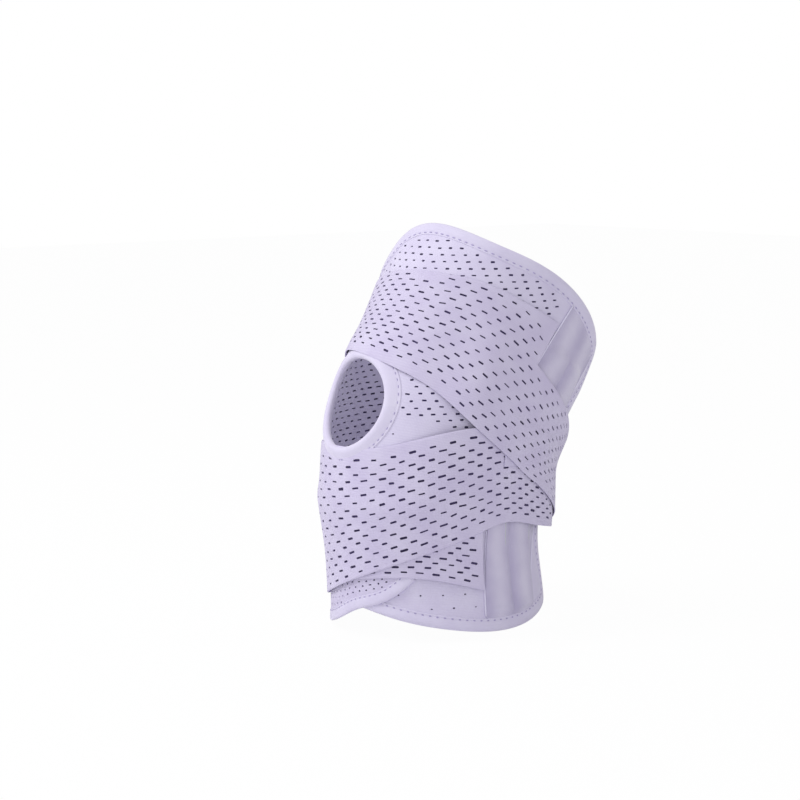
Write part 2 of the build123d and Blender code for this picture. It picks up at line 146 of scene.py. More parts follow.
def on_cloth(w, s):
    """Points at the height where slots are spaced, in mm."""
    return skin(w / W, s, MEASURED) * 1000


# ------------------------------------------------------------------ lines and outlines on flat cloth
def track(places, spacing=2.0):
    """Smooth line through (along, angle) places, as points (w, s)."""
    p = np.array([(angle * W, along) for along, angle in places], float)
    d = cumulative(p)
    t = np.linspace(0, d[-1], max(2, int(d[-1] / spacing) + 1))
    if len(p) == 2:      # bowed by a hair, so that no three points are in line
        f, way = (t / d[-1])[:, None], p[1] - p[0]
        return p[0] + way * f + np.array([way[1], -way[0]]) / d[-1] * 0.2 * f * (1 - f)
    return np.stack([natural(d, p[:, 0])(t), natural(d, p[:, 1])(t)], -1)


def cumulative(points):
    """Distance along a line at each of its points."""
    return np.concatenate([[0], np.cumsum(np.linalg.norm(np.diff(points, axis=0), axis=1))])


def closed(line):
    """The line with its first point again at its end."""
    return np.concatenate([line, line[:1]])


def loop(*runs):
    """Closed outline of several runs, counter-clockwise, without doubled points."""
    p = np.concatenate(runs)
    keep = np.linalg.norm(p - np.roll(p, 1, 0), axis=1) > 0.3
    p = p[keep]
    q = np.roll(p, -1, 0)
    return p if (p[:, 0] * q[:, 1] - q[:, 0] * p[:, 1]).sum() > 0 else p[::-1]


def follow(line, known=0):
    """s as a function of w along a line that runs one way round, or with known=1, w as a function of s."""
    order = np.argsort(line[:, known])
    xs, ys = line[order, known], line[order, 1 - known]
    return lambda x: np.interp(x, xs, ys)


def inside(p, outline):
    """Which of the points lie inside the outline."""
    found = np.zeros(len(p), bool)
    for (x0, y0), (x1, y1) in zip(outline, np.roll(outline, -1, 0)):
        if y0 != y1:
            crossed = (y0 > p[:, 1]) != (y1 > p[:, 1])
            found ^= crossed & (p[:, 0] < (x1 - x0) * (p[:, 1] - y0) / (y1 - y0) + x0)
    return found


def edge_distance(p, outline):
    """Distance of each point from the outline."""
    best = np.full(len(p), 1e9)
    for start, end in zip(outline, np.roll(outline, -1, 0)):
        d = end - start
        t = np.clip(((p - start) @ d) / max(d @ d, 1e-9), 0, 1)
        best = np.minimum(best, np.linalg.norm(p - start - t[:, None] * d, axis=1))
    return best


def leftward(d):
    """Unit vectors to the left of the directions d."""
    return np.stack([-d[:, 1], d[:, 0]], -1) / np.linalg.norm(d, axis=1)[:, None]


def inward(outline):
    """Unit vectors into a closed outline, at its points."""
    return leftward(np.roll(outline, -1, 0) - np.roll(outline, 1, 0))


def inset_loop(outline, inset):
    """The outline moved inwards, dropping points that fold over."""
    p = outline + inward(outline) * inset
    return p[(edge_distance(p, outline) > inset * 0.93) & inside(p, outline)]


def moved(path, inset):
    """The open path moved to its left."""
    return path + leftward(np.gradient(path, axis=0)) * inset


# ------------------------------------------------------------------ slots
RANDOM = np.random.default_rng(7)
SLOT_CLEARANCE = 0.8           # between a slot and the cloth's edge


def unit(v):
    return v / np.linalg.norm(v, axis=1)[:, None]


def dot(a, b):
    return (a * b).sum(1)


def slot_loops(centres, along, length, width):
    """Rounded slots of a real size, 8 points each, a little uneven as punched cloth is."""
    n = len(centres)
    half_length = length / 2 * RANDOM.uniform(0.75, 1.12, n)
    half_width = width / 2 * RANDOM.uniform(0.75, 1.2, n)
    turn = RANDOM.normal(0, math.radians(3), n)[:, None]
    w, s = centres.T
    here = on_cloth(w, s)
    per_w, per_s = (on_cloth(w + 0.1, s) - here) * 10, (on_cloth(w, s + 0.1) - here) * 10
    ahead = unit(per_w * along[:, :1] + per_s * along[:, 1:])
    beside = unit(np.cross(np.cross(per_w, per_s), ahead))
    ahead, beside = ahead * np.cos(turn) + beside * np.sin(turn), beside * np.cos(turn) - ahead * np.sin(turn)
    ww, ws, ss = dot(per_w, per_w), dot(per_w, per_s), dot(per_s, per_s)

    def flat(e):
        """The (w, s) that a direction on the leg takes, per mm."""
        p, q = dot(per_w, e), dot(per_s, e)
        return np.stack([(p * ss - q * ws), (q * ww - p * ws)], -1) / (ww * ss - ws * ws)[:, None]

    corner = half_width * 0.55
    xs = np.stack([half_length, half_length - corner, corner - half_length, -half_length], -1)
    ys = np.stack([half_width - corner, half_width, half_width, half_width - corner], -1)
    xs, ys = np.concatenate([xs, xs[:, ::-1]], 1), np.concatenate([ys, -ys[:, ::-1]], 1)
    return centres[:, None] + xs[..., None] * flat(ahead)[:, None] + ys[..., None] * flat(beside)[:, None]


def punched(rows, outline, pitch, length, width, margin, keep=None, origin=0.0):
    """Staggered slots a real pitch apart along rows of places, kept clear of the outline."""
    centres, along = [], []
    for k, row in enumerate(rows):
        d = cumulative(on_cloth(row[:, 0], row[:, 1]))
        at = np.interp(origin, row[:, 0], d) + pitch * (np.arange(-60, 61) + (k % 2) / 2)
        at = at[(at > d[0]) & (at < d[-1])]
        here, before, after = (np.stack([np.interp(x, d, row[:, i]) for i in (0, 1)], -1)
                               for x in (at, at - 0.5, at + 0.5))
        centres.append(here)
        along.append(after - before)
    centres, along = np.concatenate(centres), np.concatenate(along)
    centres = centres + RANDOM.normal(0, 0.18, centres.shape)
    kept = inside(centres, outline) & (edge_distance(centres, outline) > margin)
    if keep is not None:
        kept &= keep(centres[:, 0] / W, centres[:, 1])
    loops = slot_loops(centres[kept], along[kept], length, width)
    corners = loops.reshape(-1, 2)
    whole = inside(corners, outline) & (edge_distance(corners, outline) > SLOT_CLEARANCE)
    return list(loops[whole.reshape(-1, 8).all(1)])


def band_rows(low, high, first, spacing):
    """Rows that share the real width between two edges, spaced out where it is widest."""
    ws = np.arange(max(low[0, 0], high[0, 0]), min(low[-1, 0], high[-1, 0]), 2.0)
    s0, s1 = follow(low)(ws), follow(high)(ws)
    s = s0[:, None] + (s1 - s0)[:, None] * np.linspace(0, 1, 70)
    steps = np.linalg.norm(np.diff(on_cloth(ws[:, None], s), axis=1), axis=2)
    d = np.concatenate([np.zeros((len(ws), 1)), np.cumsum(steps, axis=1)], 1)
    widest = d[:, -1].max()
    count = round((widest - 2 * first) / spacing)
    shares = [(first + (widest - 2 * first) * k / count) / widest for k in range(count + 1)]
    return [np.stack([ws, [np.interp(share * d[i, -1], d[i], s[i]) for i in range(len(ws))]], -1)
            for share in shares]


def level_rows(low, high, spacing):
    """Rows at even heights above the ground."""
    ws, ss = np.arange(-180, 181, 2.0), np.arange(-14, 256, 1.0)
    z = on_cloth(ws[:, None], ss[None, :])[..., 2]
    return [np.stack([ws, [np.interp(level, z[i], ss) for i in range(len(ws))]], -1)
            for level in np.arange(low, high, spacing)]


# ------------------------------------------------------------------ meshes
CUT_SIZES = {}                 # real area, width and length of each sheet, in metres
UV_PER_MM = 0.01


def shown_name(name):
    """A piece that stands for a CAD node has the node's name with _look."""
    return name + "_look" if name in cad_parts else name


def new_mesh(name, verts, faces, body, material, uv, sharp=None):
    """A piece of the object. One that is named after a CAD node replaces it."""
    me = bpy.data.meshes.new(shown_name(name))
    me.from_pydata([tuple(v) for v in verts], [], [tuple(int(i) for i in f) for f in faces])
    me.update()
    layer = me.uv_layers.new(name="cloth")
    index = np.zeros(len(me.loops), np.int32)
    me.loops.foreach_get("vertex_index", index)
    layer.data.foreach_set("uv", np.ascontiguousarray(uv[index], np.float32).ravel())
    me.polygons.foreach_set("use_smooth", [True] * len(me.polygons))
    if sharp:
        me.set_sharp_from_angle(angle=math.radians(sharp))
    ob = bpy.data.objects.new(me.name, me)
    bpy.context.collection.objects.link(ob)
    me.materials.append(material)
    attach(ob, body)
    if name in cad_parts:
        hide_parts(name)
    return ob


def over(height, theta, s):
    """A height at each place, from a number or from a function of the place."""
    return height(theta, s) if callable(height) else np.full(len(s), float(height))


def grid_points(outline, cuts, pitch, margin):
    """Places of a triangular grid inside the outline, clear of its edge and of the cut-outs."""
    low, high = outline.min(0), outline.max(0)
    xs, ys = np.arange(low[0], high[0], pitch), np.arange(low[1], high[1], pitch * 0.866)
    g = np.stack(np.meshgrid(xs, ys), -1)
    g[1::2, :, 0] += pitch / 2
    g = g.reshape(-1, 2)
    g = g[inside(g, outline)]
    g = g[edge_distance(g, outline) > margin]
    for cut in cuts:
        g = g[~inside(g, cut)]
        g = g[edge_distance(g, cut) > pitch * 0.4]
    return g


def finder(points):
    """A function that gives the index and the distance of the nearest of the points."""
    tree = KDTree(len(points))
    for i, p in enumerate(points):
        tree.insert((p[0], p[1], 0), i)
    tree.balance()
    return lambda p: tree.find((p[0], p[1], 0))[1:]


def clear_of_slots(fill, fixed, holes):
    """The places that neither crowd a fixed point nor lie in a slot."""
    nearest = finder(fixed)
    fill = fill[np.array([nearest(p)[1] for p in fill]) > 0.55]
    reach = [np.linalg.norm(h - h.mean(0), axis=1).max() + 0.2 for h in holes]
    nearest = finder([h.mean(0) for h in holes])
    found = [nearest(p) for p in fill]
    return fill[np.array([distance > reach[i] for i, distance in found], bool)]


def triangulated(loops, fill):
    """Places and triangles of a sheet: loops are its outline and then its holes, fill the places between."""
    edges, at = [], 0
    for line in loops:
        edges += [(at + i, at + (i + 1) % len(line)) for i in range(len(line))]
        at += len(line)
    loop_of = np.repeat([*range(len(loops)), -1], [len(line) for line in (*loops, fill)])
    points = [Vector(p) for p in np.concatenate([*loops, fill])]
    verts, _, triangles, origins, _, _ = delaunay_2d_cdt(points, edges, [], 0, 1e-6, True)
    places = np.array([(v.x, v.y) for v in verts])
    loop_of = np.array([loop_of[o[0]] if o else -1 for o in origins])
    tri = np.array([f[:3] for f in triangles])
    a, b, c = (places[tri[:, k]] for k in range(3))
    flip = ((b - a)[:, 0] * (c - a)[:, 1] - (b - a)[:, 1] * (c - a)[:, 0]) < 0
    tri[flip] = tri[flip][:, ::-1]
    first, second, third = loop_of[tri].T
    in_hole = (first == second) & (second == third) & (first > 0)
    return places, tri[~in_hole & inside((a + b + c) / 3, loops[0])]


def cloth(name, body, outline, base, thick, material, finish, holes=(), cuts=(), grid=4.0, rib=0.0, extra=()):
    """A cut sheet on the leg: punched holes, bigger cut-outs, real edges and a selvedge raised by rib."""
    loops = [outline, *cuts, *holes]
    selvedge = [inset_loop(outline, inset) for inset in (0.7, 1.5, 2.6)] if rib else []
    margin = 3.4 if rib else grid * 0.4
    fill = np.concatenate([*selvedge, grid_points(outline, cuts, grid, margin), *extra])
    if len(holes):
        fill = clear_of_slots(fill, np.concatenate(loops), holes)
    places, tri = triangulated(loops, fill)
    theta, s = places[:, 0] / W, places[:, 1]
    low, thick = over(base, theta, s), over(thick, theta, s)
    top = low + thick
    if rib:
        d = edge_distance(places, outline)
        top = top + rib * np.exp(-((d - 0.6) / 0.75) ** 2) - 0.5 * thick * np.exp(-(d / 0.35) ** 2)
    n = len(places)
    face = skin(theta, s, top)
    sides = {(int(t[i]), int(t[(i + 1) % 3])) for t in tri for i in range(3)}
    walls = [(b, a, a + n, b + n) for a, b in sides if (b, a) not in sides]
    faces = [tuple(t) for t in tri] + [tuple(t[::-1] + n) for t in tri] + walls
    a, b, c = (face[tri[:, k]] for k in range(3))
    area = 0.5 * np.linalg.norm(np.cross(b - a, c - a), axis=1).sum()
    width, length = np.ptp(outline[:, 0]) * SHEET_ROUND, np.ptp(outline[:, 1]) * SHEET_ALONG
    CUT_SIZES[shown_name(name)] = (area, width, length)
    verts, uv = np.concatenate([face, skin(theta, s, low)]), np.concatenate([places, places]) * UV_PER_MM
    return new_mesh(name, verts, faces, body, material, uv, sharp=38)


def declare(piece):
    """The length of a sheet of the real area that the piece covers, as cut before it was pulled round the
    leg, worked out and not used.
    """
    area, width, length = CUT_SIZES[piece.name]
    length = max(length, area / width * 1.02)


def swept(name, path, profile, material):
    """A hem: closed profile points (inset, out) carried along a path (w, s), insets to its left."""
    left = leftward(np.gradient(path, axis=0))
    return tube(name, path[:, None, :] + left[:, None, :] * profile[None, :, :1], profile, material)


def tube(name, flat, profile, material, joined=False):
    """A closed profile at each of a row of stations: places (w, s) of its points, and their heights."""
    stations, m = flat.shape[:2]
    heights = np.broadcast_to(profile[None, :, 1], (stations, m))
    verts = skin(flat[..., 0] / W, flat[..., 1], heights).reshape(-1, 3)
    faces = []
    for i in range(stations if joined else stations - 1):
        j = (i + 1) % stations
        faces += [(i * m + a, j * m + a, j * m + (a + 1) % m, i * m + (a + 1) % m) for a in range(m)]
    if not joined:
        faces += [tuple(range(m)), tuple(reversed(range((stations - 1) * m, stations * m)))]
    uv = np.stack(np.meshgrid(cumulative(flat[:, 0]), cumulative(profile), indexing="ij"), -1) * UV_PER_MM
    return new_mesh(name, verts, faces, "sleeve", material, uv.reshape(-1, 2))


# a bead of thread along its length: share of half its length, and of its half width
BEAD = [(-1, 0.25), (-0.6, 0.85), (0, 1), (0.6, 0.85), (1, 0.25)]
BEAD_SIDES = 6
BEAD_HEIGHT = 0.35             # half height, as a share of the width


def thread(name, body, path, out, pitch, size):
    """Stitches: small flattened beads of thread, of a length and a width, a pitch apart along a path."""
    d = cumulative(path)
    t = np.arange(pitch / 2, d[-1], pitch)
    (w, s), (w_ahead, s_ahead) = ([np.interp(x, d, path[:, i]) for i in (0, 1)] for x in (t, t + 0.4))
    height = over(out, w / W, s)
    centre = skin(w / W, s, height)
    ahead = unit(skin(w_ahead / W, s_ahead, height) - centre)
    up = unit(skin(w / W, s, height + 1) - centre)
    beside = np.cross(up, ahead)
    half_length, half_width, half_height = 0.0005 * size[0], 0.0005 * size[1], 0.001 * BEAD_HEIGHT * size[1]
    verts, faces, m = [], [], BEAD_SIDES
    for i in range(len(t)):
        at = len(verts)
        for a, r in BEAD:
            for q in (2 * math.pi * k / m for k in range(m)):
                across = beside[i] * math.cos(q) * half_width + up[i] * math.sin(q) * half_height
                verts.append(centre[i] + ahead[i] * a * half_length + across * r)
        for ring in range(at, at + (len(BEAD) - 1) * m, m):
            faces += [(ring + k, ring + (k + 1) % m, ring + m + (k + 1) % m, ring + m + k) for k in range(m)]
        faces += [tuple(range(at + m - 1, at - 1, -1)), tuple(range(len(verts) - m, len(verts)))]
    return new_mesh(name, verts, faces, body, M_THREAD, np.zeros((len(verts), 2)))


# ------------------------------------------------------------------ materials
def wire(tree, target, inputs):
    """Sets a node's inputs, by name or number, to a value or from another node's output."""
    for key, value in inputs.items():
        if isinstance(value, bpy.types.NodeSocket):
            tree.links.new(value, target.inputs[key])
        else:
            target.inputs[key].default_value = value


def node(tree, kind, inputs, **settings):
    """A new shader node with its settings and inputs."""
    made = tree.nodes.new("ShaderNode" + kind)
    for key, value in settings.items():
        setattr(made, key, value)
    wire(tree, made, inputs)
    return made


def new_material(name):
    """A material, its node tree and its shader."""
    mat = bpy.data.materials.new(name)
    mat.use_nodes = True
    return mat, mat.node_tree, mat.node_tree.nodes["Principled BSDF"]


def srgb(text):
    """Linear colour of a hexadecimal sRGB one."""
    v = [int(text[i:i + 2], 16) / 255 for i in (0, 2, 4)]
    return tuple(c / 12.92 if c <= 0.04045 else ((c + 0.055) / 1.055) ** 2.4 for c in v)


def fabric(name, colour, shade, knit=(0.11, 0.09), bump=0.25, rough=0.78, sheen=0.35, blotch=0.35, ribs=None,
           channels=None):
    """Knitted cloth in a colour and a darker shade: the shade is painted shade in the low stitches of the
    knit, and random tone in slow patches (blotch).

    knit is the scale of the stitches each way, ribs the (axis, scale, distortion, height) of raised cords,
    and channels the (mm from rib to rib, share) of painted shade in the valleys between the stays.
    """
    mat, tree, shader = new_material(name)
    uv = node(tree, "TexCoord", {}).outputs["UV"]
    place = node(tree, "Mapping", {"Vector": uv, "Scale": (1 / UV_PER_MM,) * 3}).outputs["Vector"]
    rows, columns = (node(tree, "TexWave", {"Vector": place, "Scale": scale * math.pi, "Distortion": 0.6,
                                            "Detail": 1}, bands_direction=axis).outputs["Fac"]
                     for axis, scale in zip("XY", knit))
    weave = node(tree, "Math", {0: rows, 1: columns}, operation="MULTIPLY").outputs[0]
    fuzz = node(tree, "TexNoise", {"Vector": place, "Scale": 1.6, "Detail": 3}).outputs["Fac"]
    height = node(tree, "Math", {0: weave, 1: fuzz}, operation="ADD").outputs[0]
    if ribs:
        axis, scale, distortion, raised = ribs
        cords = node(tree, "TexWave", {"Vector": place, "Scale": scale, "Distortion": distortion,
                                       "Detail Scale": 0.3}, bands_direction=axis).outputs["Fac"]
        height = node(tree, "Math", {0: cords, 1: raised, 2: height}, operation="MULTIPLY_ADD").outputs[0]
    normal = node(tree, "Bump", {"Strength": bump, "Distance": 0.0004, "Height": height}).outputs["Normal"]
    patches = node(tree, "TexNoise", {"Vector": place, "Scale": 0.055, "Detail": 2}).outputs["Fac"]
    slow = node(tree, "MapRange", {"Value": patches, "From Min": 0.3, "From Max": 0.7,
                                   "To Max": blotch}).outputs["Result"]
    # painted shade: more of the shade colour where the knit is low
    stitch_shade = node(tree, "Math", {0: weave, 1: -0.35, 2: 0.3}, operation="MULTIPLY_ADD").outputs[0]
    darker = node(tree, "Math", {0: slow, 1: stitch_shade}, operation="ADD", use_clamp=True).outputs[0]
    if channels:
        pitch, share = channels
        # painted shade in the valleys between a pocket's stays
        valley_shade = node(tree, "TexWave", {"Vector": place, "Scale": 2 * math.pi / 20 / pitch},
                       bands_direction="X").outputs["Fac"]
        darker = node(tree, "Math", {0: valley_shade, 1: share, 2: darker}, operation="MULTIPLY_ADD",
                      use_clamp=True).outputs[0]
    mix = node(tree, "Mix", {"Factor": darker, "A": (*colour, 1), "B": (*shade, 1)}, data_type="RGBA")
    wire(tree, shader, {"Base Color": mix.outputs["Result"], "Normal": normal, "Roughness": rough,
                        "Sheen Weight": sheen, "Sheen Roughness": 0.45, "Sheen Tint": (0.97, 0.95, 1, 1),
                        "Specular IOR Level": 0.25})
    return mat


def solid_material(name, colour, rough, metal=0.0):
    """Metal or plastic, a little uneven in colour and gloss."""
    mat, tree, shader = new_material(name)
    noise = node(tree, "TexNoise", {"Scale": 900}).outputs["Fac"]
    gloss = node(tree, "MapRange", {"Value": noise, "To Min": rough - 0.08, "To Max": rough + 0.08})
    mix = node(tree, "Mix", {"Factor": noise, "A": (*colour, 1), "B": (*(c * 0.8 for c in colour), 1)},
               data_type="RGBA")
    wire(tree, shader, {"Base Color": mix.outputs["Result"], "Roughness": gloss.outputs["Result"],
                        "Metallic": metal})
    return mat


STAY_PITCH = 22.5              # from rib to rib in a pocket
# each second colour is painted shade in the low stitches, and random tone in slow patches
M_PANEL = fabric("panel_mesh", srgb("D9D4EA"), srgb("C3BADA"))
M_LINING = fabric("panel_lining", srgb("DED9EF"), srgb("CFC8E4"))
M_BAND = fabric("band_elastic", srgb("D6D0E8"), srgb("BDB2D6"), ribs=("Y", 0.9, 0.4, 0.8), bump=0.3)
M_HEM = fabric("hem_fabric", srgb("DAD5EA"), srgb("C6BEDD"), knit=(0.5, 0.5), bump=0.15, sheen=0.5)
M_RING = fabric("ring_fabric", srgb("DDD8EC"), srgb("C9C1DF"), knit=(0.5, 0.5), bump=0.12, sheen=0.5)
M_ELASTIC = fabric("rear_elastic_knit", srgb("D2CCE5"), srgb("C0B7DC"), ribs=("X", 0.55, 0.2, 0.8), bump=0.4)
# the pocket's much darker second colour is mostly painted shade in the valleys between the stays
M_POCKET = fabric("pocket_fabric", srgb("DAD5E8"), srgb("A49BBF"), knit=(0.9, 0.9), bump=0.1, rough=0.45,
                  sheen=0.3, blotch=0.2, channels=(STAY_PITCH, 0.42))
M_PATCH = fabric("patch_fabric", srgb("D2CCE5"), srgb("BBB1D5"))
M_LOOP = fabric("loop_fabric", srgb("CFC8E6"), srgb("B9AFD8"), knit=(0.8, 0.8), bump=0.8, rough=0.95,
                sheen=0.8)
M_TAB = fabric("tab_fabric", srgb("D2CBEA"), srgb("BBB0DB"))
# dark cloth for the sheets laid under the slots: painted shade, so that the slots look shadowed under any
# light
M_SHADE = fabric("slot_painted_shade", srgb("241D38"), srgb("4A4068"), knit=(0.8, 0.8), bump=0.2, sheen=0.1,
                 blotch=0.9)
M_THREAD = fabric("thread", srgb("B3AAD0"), srgb("9A90BC"), knit=(2, 2), bump=0.2, rough=0.6)
M_PIPING = fabric("piping", srgb("E6E2F6"), srgb("D8D2EE"), knit=(1, 1), bump=0.2)
M_STEEL = solid_material("stay_steel", srgb("B8BCC2"), 0.35, 1.0)
M_CAP = solid_material("cap_plastic", srgb("C9C4DA"), 0.5)
M_HOOK = solid_material("hook_plastic", srgb("C4BDDB"), 0.6)

# ------------------------------------------------------------------ outlines, as (along, angle) places
LATERAL_RIM = [(RIM, 0), (RIM, 24), (RIM - 2, 44), (RIM - 2, 64), (RIM - 5, 87), (RIM - 11, 106),
               (RIM - 20, 127)]
MEDIAL_RIM = [(RIM - 11, -19), (RIM - 23, -32), (RIM - 30, -50), (RIM - 29, -90), (RIM - 31, -106),
              (RIM - 37, -123)]
LATERAL_HEM = [(10, 31), (4, 57), (0, 84), (1, 105), (5, 123)]
MEDIAL_HEM = [(17, 0), (13, -30), (6, -60), (0, -90), (1, -106), (5, -123)]
top_run = track(MEDIAL_RIM[::-1] + LATERAL_RIM)
hem_run = track(MEDIAL_HEM[::-1] + LATERAL_HEM)
lateral_rear = track([(5, 123), (11, 136), (24, 141), (42, 135), (60, 131), (KNEE, 130.5), (RIM - 62, 133),
                      (RIM - 46, 140), (RIM - 32, 139), (RIM - 20, 127)])
medial_rear = track([(RIM - 37, -123), (RIM - 44, -136), (RIM - 54, -140), (RIM - 70, -134), (KNEE, -130.5),
                     (60, -131), (42, -135), (24, -141), (11, -136), (5, -123)])
wrap = loop(hem_run, lateral_rear[1:], top_run[::-1][1:], medial_rear[1:-1])
hem_line, rim_line = follow(hem_run), follow(top_run)

UPPER_TOP_A = track([(KNEE + 70, -82), (KNEE + 74, -55), (KNEE + 78, -25), (KNEE + 81, 0), (KNEE + 83, 20),
                     (KNEE + 87, 44), (KNEE + 87, 66), (KNEE + 86, 88)])
UPPER_TOP_B = track([(KNEE + 54, 85), (KNEE + 48, 100), (KNEE + 41, 120), (KNEE + 25, 150), (KNEE + 10, 180),
                     (KNEE - 8, 208), (98, 232)])
UPPER_LOW = track([(KNEE + 17, -82), (KNEE + 21, -60), (KNEE + 24, -33), (KNEE + 22, 0), (KNEE + 19, 25),
                   (KNEE + 14, 48), (KNEE + 5, 66), (KNEE - 6, 84), (KNEE - 24, 105), (KNEE - 45, 128),
                   (KNEE - 62, 150), (KNEE - 67, 180), (50, 208), (44, 232)])
UPPER_FAN = track([(KNEE + 70, -82), (KNEE + 78, -25), (KNEE + 84, 20), (KNEE + 88, 50), (KNEE + 84, 75),
                   (KNEE + 72, 95), (KNEE + 57, 115), (KNEE + 32, 150), (KNEE + 10, 180), (KNEE - 8, 208),
                   (98, 232)])
LOWER_TOP = track([(KNEE - 15, -78), (KNEE - 13, -50), (KNEE - 13, -18), (KNEE - 13, 0), (KNEE - 12, 21),
                   (KNEE - 3, 52), (KNEE + 4, 69), (KNEE + 11, 90), (KNEE + 14, 120), (KNEE + 13, 150),
                   (KNEE + 11, 180), (KNEE + 22, 210), (KNEE + 34, 236)])
LOWER_LOW = track([(KNEE - 117, -76), (KNEE - 114, -58), (KNEE - 107, -32), (KNEE - 92, 0), (KNEE - 76, 33),
                   (KNEE - 66, 55), (KNEE - 56, 77), (KNEE - 52, 90), (KNEE - 57, 111), (KNEE - 65, 138),
                   (KNEE - 68, 180), (KNEE - 44, 210), (KNEE - 14, 236)])
BOTTOM_TOP = track([(72, -78), (75, -40), (75, 0), (78, 40), (73, 78)])
BOTTOM_LOW = track([(30, -77), (34, -30), (35, 0), (38, 20), (38, 50), (29, 77)])
FLAP_LOW = track([(-4, -76), (-5, -60), (-3, -36), (7, -8), (15, 6), (22, 23), (38, 41)])
upper_outline = loop(UPPER_LOW, track([(44, 232), (98, 232)]), UPPER_TOP_B[::-1],
                     track([(KNEE + 54, 85), (KNEE + 86, 88)]), UPPER_TOP_A[::-1],
                     track([(KNEE + 70, -82), (KNEE + 17, -82)]))
lower_outline = loop(LOWER_LOW, track([(KNEE - 14, 236), (KNEE + 34, 236)]), LOWER_TOP[::-1],
                     track([(KNEE - 15, -78), (KNEE - 117, -76)]))
bottom_outline = loop(BOTTOM_LOW, track([(29, 77), (73, 78)]), BOTTOM_TOP[::-1],
                      track([(72, -78), (30, -77)]))
flap_outline = loop(FLAP_LOW, track([(38, 41), (70, 41)]), track([(70, 41), (70, -76)]),
                    track([(70, -76), (-4, -76)]))


def polygon(*corners):
    """Outline with straight sides between (along, angle) corners."""
    return loop(*[track([a, b])[:-1] for a, b in zip(corners, corners[1:] + corners[:1])])


patch_outline = polygon((KNEE - 15, 87), (KNEE - 12, 116), (KNEE + 15, 112), (KNEE + 17, 84))
elastic_outline = loop(track([(68, 124), (58, 150), (56, 180), (58, 210), (68, 236)]),
                       track([(68, 236), (140, 236)]),
                       track([(140, 236), (141, 210), (140, 180), (141, 150), (140, 124)]),
                       track([(140, 124), (68, 124)]))


def on_leg(x, z):
    """The places (w, s) on the front of the wrap at a given x and height above the ground, in mm."""
    theta, s = np.zeros_like(x), z.copy()
    for _ in range(60):
        p = skin(theta, s, PANEL_FACE) * 1000
        theta = theta + np.degrees((x - p[..., 0]) / HALF_WIDTH(s)) * 0.7
        s = s + (z - p[..., 2]) * 0.7
    return np.stack([theta * W, s], -1)


HOLE_WIDTH, HOLE_HEIGHT = 58, 57
HOLE_X, HOLE_Z = -4.0, float(skin(0, KNEE + 3, PANEL_FACE)[2] * 1000)


def opening(beyond, n=96):
    """The kneecap opening's outline, moved outwards."""
    q = 2 * math.pi * np.arange(n) / n
    half_width, half_height = (HOLE_WIDTH + 2 * beyond) / 2, (HOLE_HEIGHT + 2 * beyond) / 2
    return on_leg(HOLE_X + half_width * np.cos(q), HOLE_Z + half_height * np.sin(q))


RING_WIDTH = 10                # from the opening to the ring's outer edge
ring_edge = opening(RING_WIDTH)


# ------------------------------------------------------------------ heights of the bands
def patch_relief(theta, s):
    """What the cross patch lifts the upper band by."""
    p = np.stack([theta * W, s], -1)
    away = edge_distance(p, patch_outline)
    return 0.5 * step(np.where(inside(p, patch_outline), away, -away), -0.7, 0.5)


def stand_off(theta, s):
    """Where the bands bridge the hollow behind the knee."""
    return 5.5 * step(theta, 98, 138) * (1 - step(theta, 195, 228)) * np.exp(-((s - 64) / 36) ** 2)


def upper_base(theta, s):
    """Height of the dark sheet of painted shade under the upper band's slots: higher over the ring, and
    highest where the bands cross.
    """
    crossing = 2.9 + 4.15 * np.clip(LIFT(s), 0, 1)
    front = 2.4 + 2.2 * np.exp(-((s - 150) / 15) ** 2 - ((theta + 3) / 36) ** 2)
    return front + (crossing - front) * step(theta, 42, 66) + stand_off(theta, s)


def lower_base(theta, s):
    """Height of the dark sheet of painted shade under the lower band's slots: over the bottom band, and lower
    above it on the front.
    """
    return 5.42 - 3.1 * step(s, 82, 102) * (1 - step(theta, 30, 62)) + stand_off(theta, s)


# ------------------------------------------------------------------ the wrap
upper_low, upper_top = follow(UPPER_LOW), follow(UPPER_TOP_A)
lower_low, lower_top, bottom_low = follow(LOWER_LOW), follow(LOWER_TOP), follow(BOTTOM_LOW)


def beyond_ring(theta, s, distance):
    """Which places lie outside the kneecap ring and a distance away from it."""
    p = np.stack([theta * W, s], -1)
    return ~inside(p, ring_edge) & (edge_distance(p, ring_edge) > distance)


def panel_shows(theta, s):
    """Where the panel's slots can be seen from outside."""
    w = theta * W
    above = (s > upper_top(w) - 6) & (s < rim_line(w) - 10) & (theta < 84) & (theta > -82)
    window = (theta > 0) & (theta < 74) & (s < upper_low(w) + 4) & (s > 126.5)
    medial = (theta < -20) & (s > lower_top(w) - 4) & (s < upper_low(w) + 4)
    return above | ((window | medial) & beyond_ring(theta, s, 2.2))


def dimples_show(theta, s):
    """Where the panel has small dimples instead of slots: above the calf hem and beside the ring."""
    w = theta * W
    calf = (theta > 12) & (theta < 74) & (s < bottom_low(w) - 3) & (s > hem_line(w) + 12)
    knee = (theta > 22) & (theta < 60) & (s < 124) & (s > lower_top(w) + 3)
    return calf | (knee & beyond_ring(theta, s, 3))


panel_line = inset_loop(wrap, 2.0)
panel_cut = [opening(1)]
slots = punched(level_rows(20, 300, 4.4), panel_line, pitch=8.2, length=2.9, width=1.3, margin=8.5,
                keep=panel_shows)
slots += punched(level_rows(0, 300, 9), panel_line, pitch=15, length=1.4, width=1.0, margin=9,
                 keep=dimples_show)
cloth("main_panel", "sleeve", panel_line, *OUTER_KNIT, M_PANEL, "panel_mesh", holes=slots, cuts=panel_cut)
slots = punched(level_rows(0, 300, 4.3), panel_line, pitch=9.4, length=4.6, width=1.2, margin=9,
                keep=lambda theta, s: beyond_ring(theta, s, 3))
cloth("panel_lining", "sleeve", panel_line, *LINING, M_LINING, "panel_mesh", holes=slots, cuts=panel_cut)
